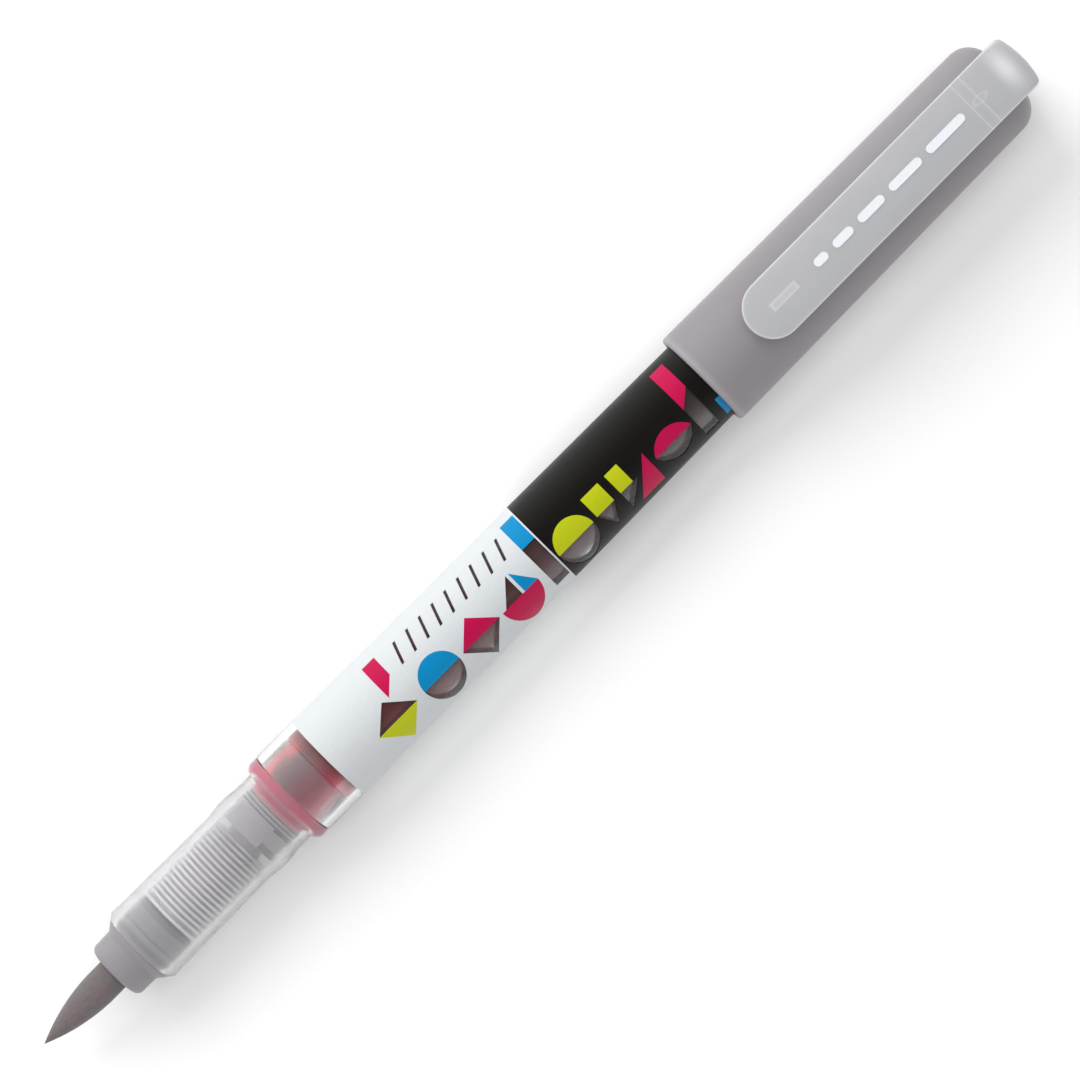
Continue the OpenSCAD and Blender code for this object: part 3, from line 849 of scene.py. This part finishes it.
def film_colours(points, faces):
    """The name of each triangle's film, or "clear"."""
    centre = points[faces].mean(axis=1)
    x, turn = centre[:, 0], centre[:, 1]
    r = BARREL_R - DRAFT * x
    y = np.where(np.sin(turn) > 0, r * np.cos(turn), 99)
    names = np.where(x < PRINT_SPLIT - PRINT_FRONT, "print_white", "print_black").astype("<U16")
    for name in ("clear", "print_magenta", "print_cyan", "print_lime"):
        for outline in ART[name]:
            names[inside(outline, x, y)] = name
    return names


def make_film(name, material, points, faces):
    """One colour's film, as thick as FILM_T, with the barrel's true normals on its faces."""
    index, verts, normals = {}, [], []

    def vertex(x, turn, deep):
        key = (round(x, 4), round(turn % (2 * math.pi), 5), deep)
        if key not in index:
            index[key] = len(verts)
            r = barrel_at(PRINT_FRONT + x) - (FILM_T - 0.001 if deep else 0)
            verts.append(point(PRINT_FRONT + x, r * math.cos(turn), r * math.sin(turn)))
            normals.append(Vector((DRAFT, math.cos(turn), math.sin(turn))).normalized())
        return index[key]

    tops = [[vertex(*points[i], False) for i in reversed(face)] for face in faces]
    unders = [[vertex(*points[i], True) for i in face] for face in faces]
    pairs = [(top, under) for top, under in zip(tops, unders) if len(set(top)) == 3]    # none squashed flat
    tops, unders = [top for top, _ in pairs], [under for _, under in pairs]
    sides, seen = [], {(a, b) for f in tops for a, b in zip(f, f[1:] + f[:1])}
    deep = {t: u for top, under in zip(tops, unders) for t, u in zip(reversed(top), under)}
    for a, b in seen:
        if (b, a) not in seen:
            sides.append([b, a, deep[a], deep[b]])
    mesh = bpy.data.meshes.new(name)
    mesh.from_pydata(verts, [], tops + unders + sides)
    mesh.polygons.foreach_set("use_smooth", [True] * len(mesh.polygons))
    split = []
    for number, face in enumerate(mesh.polygons):
        way = 1 if number < len(tops) else -1
        flat = number >= len(tops) + len(unders)
        split += [tuple(face.normal if flat else way * normals[i]) for i in face.vertices]
    mesh.normals_split_custom_set(split)
    obj = bpy.data.objects.new(name, mesh)
    bpy.context.scene.collection.objects.link(obj)
    finish_piece(obj, material, "marker", name.replace("print_", "") + "_print", name)


def make_prints():
    """The printed films on the barrel, one object for each colour."""
    points, faces = film_triangles()
    names = film_colours(points, faces)
    films = {
        "print_white": WHITE, "print_black": BLACK, "print_magenta": MAGENTA, "print_cyan": CYAN,
        "print_lime": LIME,
    }
    for name, material in films.items():
        make_film(name, material, points, faces[names == name].tolist())


# ---------------------------------------------------------------- the cap and its clip

def make_cap():
    """Opaque cap with a rounded rim, a rounded closed end and the hole for the clip's plug."""
    flat_r, hole = cap_at(CAP_END) - CAP_ROUND, PLUG_R + 0.03
    outline = rounded([
        (CAP_R - CAP_WALL, CAP_RIM, 0.2), (CAP_R, CAP_RIM, 0.5),
        *arc(flat_r, CAP_END - CAP_ROUND, CAP_ROUND, 0, 88, 20),
        (hole, CAP_END, 0.1), (hole, PLUG_FRONT), (cap_at(PLUG_FRONT) - CAP_WALL, PLUG_FRONT, 0.4),
    ])
    cap = lathe("cap_body", outline, 256)
    finish_piece(cap, CAP_PLASTIC, "cap", "cap_plastic", "cap_body")


def make_liner():
    """Soft inner cap that seals on the nib holder's shoulder when the cap is over the nib."""
    gap = CAP_WALL + 0.03
    rim_r, floor_r, mouth = cap_at(LINER_RIM) - gap, cap_at(LINER_END) - gap, LINER_RIM + 0.6
    outline = rounded([
        (rim_r - 0.3, LINER_RIM, 0.1), (rim_r, mouth, 0.1), (floor_r, LINER_END), (0, LINER_END),
        (0, LINER_END - 0.8), (4.3, LINER_END - 0.8, 0.3), (4.3, mouth, 0.2),
    ])
    liner = lathe("inner_cap", outline)
    finish_piece(liner, LINER_PLASTIC, "cap", "liner_plastic", "inner_cap")


def stack(name, sides, place):
    """A closed mesh from a stack of outlines, bottom first. Each side is half an outline from end to end,
    as (u, half width, height) points, and place(u, y, height) sets a point in the frame."""
    verts, loops = [], []
    for side in sides:
        right = [place(u, w, h) for u, w, h in side]
        left = [place(u, -w, h) for u, w, h in reversed(side) if w > 1e-6]
        loops.append([len(verts) + k for k in range(len(right) + len(left))])
        verts += right + left
    faces = []
    for low, high in zip(loops, loops[1:]):
        for k in range(len(low)):
            n = (k + 1) % len(low)
            faces.append([low[k], low[n], high[n], high[k]])
    for loop, side in ((loops[0], sides[0]), (loops[-1], sides[-1])):
        for k in range(len(side) - 1):
            quad = [loop[k], loop[k + 1], loop[-k - 1], loop[-k]]
            faces.append(list(dict.fromkeys(quad)))
    return add_object(name, verts, faces, 28)


CLIP_R = CLIP_W / 2                                 # round of the clip's tip and of its head's foot
BEND_R = 2.2                                        # outer radius of the bend over the cap's end
STRAIGHT = HEAD_END - BEND_R - CLIP_TIP             # length of the arm ahead of the bend
BEND_LEN = BEND_R * math.pi / 2
CLIP_UNDER = CLIP_TOP - CLIP_T
BOW = 0.65                                          # how far the bend's middle stands beyond its edges
EDGE_HIGHLIGHT_W = 0.2                                        # width of the painted highlight along the clip's edge


def clip_point(u, y, h):
    """A point of the clip: u along its top, from the tip over the bend and down the cap's end."""
    centre = CLIP_TOP - BEND_R
    grown = min(max((u - STRAIGHT + 4) / 4, 0), 1)
    depth = (CLIP_T - h) * (1 + (HEAD_T / CLIP_T - 1) * grown)
    size = BEND_R - depth
    bow = BOW * (y / CLIP_R) ** 2 * h / CLIP_T * min(max((u - STRAIGHT) / BEND_LEN, 0), 1)
    if u < STRAIGHT:
        return point(CLIP_TIP + u, y, CLIP_TOP - depth)
    if u < STRAIGHT + BEND_LEN:
        a = (u - STRAIGHT) / BEND_R
        return point(HEAD_END - BEND_R - bow + size * math.sin(a), y, centre + size * math.cos(a))
    return point(HEAD_END - BEND_R - bow + size, y, centre - (u - STRAIGHT - BEND_LEN))


def clip_side(turn, step=0.0, drop=0.0, height=None):
    """Half of the clip's outline at one layer. Its edge's round turns from 0 at the side to 1 at the face,
    and step moves it further in. It lies at a height, or drop below the face, as a part of the round."""
    end = STRAIGHT + BEND_LEN + CLIP_TOP - BEND_R
    foot = cap_at(CAP_END) - CAP_ROUND
    places = [("tip", math.radians(a)) for a in range(0, 90, 6)]
    places += [("side", CLIP_R + (STRAIGHT - CLIP_R) * k / 76) for k in range(77)]
    places += [("side", STRAIGHT + BEND_LEN * k / 14) for k in range(1, 15)]
    places += [("side", STRAIGHT + BEND_LEN + (end - STRAIGHT - BEND_LEN) * k / 6) for k in range(1, 6)]
    places += [("foot", math.radians(a)) for a in range(0, 91, 6)]
    side = []
    for kind, value in places:
        along = {"tip": 0, "side": value, "foot": end}[kind]
        bend_highlight = min(max((along - STRAIGHT + 1) / 3, 0), 1)
        size = 0.22 + 0.43 * bend_highlight * bend_highlight * (3 - 2 * bend_highlight)
        inset = size * turn + step
        if kind == "tip":
            u, w = CLIP_R - (CLIP_R - inset) * math.cos(value), (CLIP_R - inset) * math.sin(value)
        elif kind == "side":
            u, w = value, CLIP_R - inset
        else:
            u, w = end + (foot - inset) * math.sin(value), (CLIP_R - inset) * math.cos(value)
        side.append((u, w, CLIP_T - size * drop if height is None else height))
    return side


def make_clip():
    """Frosted clip: the arm with its rib, the bend over the cap's end, the foot and the plug."""
    sides = [clip_side(0.8, 0.1, height=0), clip_side(0.25, height=0.054), clip_side(0, height=0.18)]
    for k in range(6):
        a = math.pi / 2 * k / 5
        sides.append(clip_side(1 - math.cos(a), drop=1 - math.sin(a)))
    sides += [clip_side(1, step) for step in (0.1, 0.22, 0.7, 1.3, 1.9, 2.5)]
    clip = stack("clip", sides, clip_point)

    rib_front, rib_end, rib_w = CLIP_TIP + 3.4, CLIP_TIP + 7.5, 0.575
    rib_z = cap_at(rib_front) + 0.1
    rib = [
        (rib_front, CLIP_UNDER + 0.4), (rib_front, rib_z + 0.3), (rib_front + 0.6, rib_z),
        (rib_end - 1, rib_z), (rib_end, CLIP_UNDER), (rib_end, CLIP_UNDER + 0.4),
    ]
    verts = [point(s, y, z) for y in (-rib_w, rib_w) for s, z in rib]
    count = len(rib)
    faces = [list(range(count)), list(range(count, 2 * count))]
    faces += [[k, (k + 1) % count, count + (k + 1) % count, count + k] for k in range(count)]
    combine(clip, add_object("cutter", verts, faces), "UNION")
    foot = bar(HEAD_FRONT, HEAD_FRONT + 1.4, -CLIP_R + 0.15, CLIP_R - 0.15)
    combine(clip, prism([foot], cap_at(HEAD_FRONT) + 0.05, CLIP_UNDER + 0.4), "UNION")
    plug_end = CAP_END + 0.4
    plug = lathe("cutter", [(0, PLUG_FRONT), (PLUG_R, PLUG_FRONT), (PLUG_R, plug_end), (0, plug_end)], 96)
    combine(clip, plug, "UNION")
    smooth(clip.data, 28)
    mark_edges(clip.data)

    clip.data.materials.clear()
    clip.data.materials.append(FROSTED)
    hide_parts("clip_head", "clip_arm")
    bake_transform(clip)


def mark_edges(mesh):
    """Marks the clip's points that are within EDGE_HIGHLIGHT_W of its outline, for the painted highlight
    along its edge.
    """
    attribute = mesh.attributes.new("edge", "FLOAT", "POINT")
    values = []
    for vertex in mesh.vertices:
        u, y = station(vertex.co.x) - CLIP_TIP, vertex.co.y / MM
        depth = CLIP_R - (math.hypot(u - CLIP_R, y) if u < CLIP_R else abs(y))
        values.append(1.0 if depth < EDGE_HIGHLIGHT_W else 0.0)
    attribute.data.foreach_set("value", values)


def make_clip_print():
    """Plain printed bars on the clip's face."""
    size, gap = 0.55, 1.1
    start = CLIP_TIP + 11
    verts, faces = [], []
    for length in (0.9, 1.9, 2.9, 3.9, 4.9):
        loop = arc(start + length, 0, size, -90, 90) + arc(start, 0, size, 90, 270)
        first, count = len(verts), len(loop)
        for z in (CLIP_TOP - 0.004, CLIP_TOP + FILM_T):
            verts += [point(x, y, z) for x, y in loop]
        faces += [[first + k for k in range(count)], [first + count + k for k in range(count)]]
        faces += [
            [first + k, first + (k + 1) % count, first + count + (k + 1) % count, first + count + k]
            for k in range(count)
        ]
        start += length + gap + 2 * size
    bars = add_object("clip_print", verts, faces)
    finish_piece(bars, CLIP_WHITE, "clip", "white_print", "clip_print")


# ---------------------------------------------------------------- floor, lights and camera

def make_floor():
    """Plain pale floor, with the faintest mottle."""
    bpy.ops.mesh.primitive_plane_add(size=3.0, location=(0, 0, 0))
    floor = bpy.context.object
    floor.name = "floor"
    s = Shader("floor")
    mottle = s.noise(30, 3)
    s.to("Base Color", s.mix(s.spread(mottle, 0, 1), (0.9, 0.9, 0.9), (0.915, 0.915, 0.915)))
    s.to("Roughness", s.spread(mottle, 0.65, 0.75))
    s.bump(s.noise(800, 3), 0.00002)
    floor.data.materials.append(s.material)


def make_light(name, where, at, size, power):
    """A square soft lamp, which isn't itself seen in glossy or clear surfaces."""
    data = bpy.data.lights.new(name, "AREA")
    data.shape, data.size, data.energy = "SQUARE", size, power
    light = bpy.data.objects.new(name, data)
    bpy.context.scene.collection.objects.link(light)
    light.location = where
    light.rotation_mode = "QUATERNION"
    light.rotation_quaternion = (Vector(at) - Vector(where)).to_track_quat("-Z", "Y")
    light.visible_glossy = light.visible_transmission = False


def make_world(side, zenith):
    """A white tent, brightest round its foot and dark overhead, where the camera looks in."""
    world = bpy.data.worlds.new("studio")
    bpy.context.scene.world = world
    world.use_nodes = True
    tree = world.node_tree
    place = tree.nodes.new("ShaderNodeTexCoord")
    split = tree.nodes.new("ShaderNodeSeparateXYZ")
    ramp = tree.nodes.new("ShaderNodeMapRange")
    tree.links.new(place.outputs["Generated"], split.inputs[0])
    tree.links.new(split.outputs["Z"], ramp.inputs["Value"])
    for socket, number in (("From Min", 0.2), ("From Max", 0.9), ("To Min", side), ("To Max", zenith)):
        ramp.inputs[socket].default_value = number
    tree.links.new(ramp.outputs["Result"], tree.nodes["Background"].inputs["Strength"])
    tree.nodes["Background"].inputs["Color"].default_value = (1, 1, 1, 1)


def make_camera():
    """A long lens straight over the marker, turned so that the nib is at the lower left."""
    data = bpy.data.cameras.new("camera")
    data.lens, data.sensor_width = 169.3, 36
    camera = bpy.data.objects.new("camera", data)
    bpy.context.scene.collection.objects.link(camera)
    camera.location = point(82.79, 0.26, 595)
    camera.rotation_euler = (0, 0, math.radians(-45.297))
    bpy.context.scene.camera = camera


def dress_feed_rod():
    """The feed rod's CAD solid is right as it is, and only needs its material."""
    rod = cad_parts["feed_rod"]
    rod.data.materials.clear()
    rod.data.materials.append(ROD)


make_nib()
make_nose()
make_grip()
make_collector()
make_barrel()
make_ink()
make_ball()
make_prints()
make_cap()
make_liner()
make_clip()
make_clip_print()
dress_feed_rod()

make_floor()
make_world(1.2, 0.1)
make_light("key", (0.0, 0.44, 0.36), (0, 0, 0), 0.45, 2.7)
make_light("fill", (0, 0, 1.1), (0, 0, 0), 0.9, 6.0)
make_camera()
bpy.context.scene.view_settings.view_transform = "Standard"
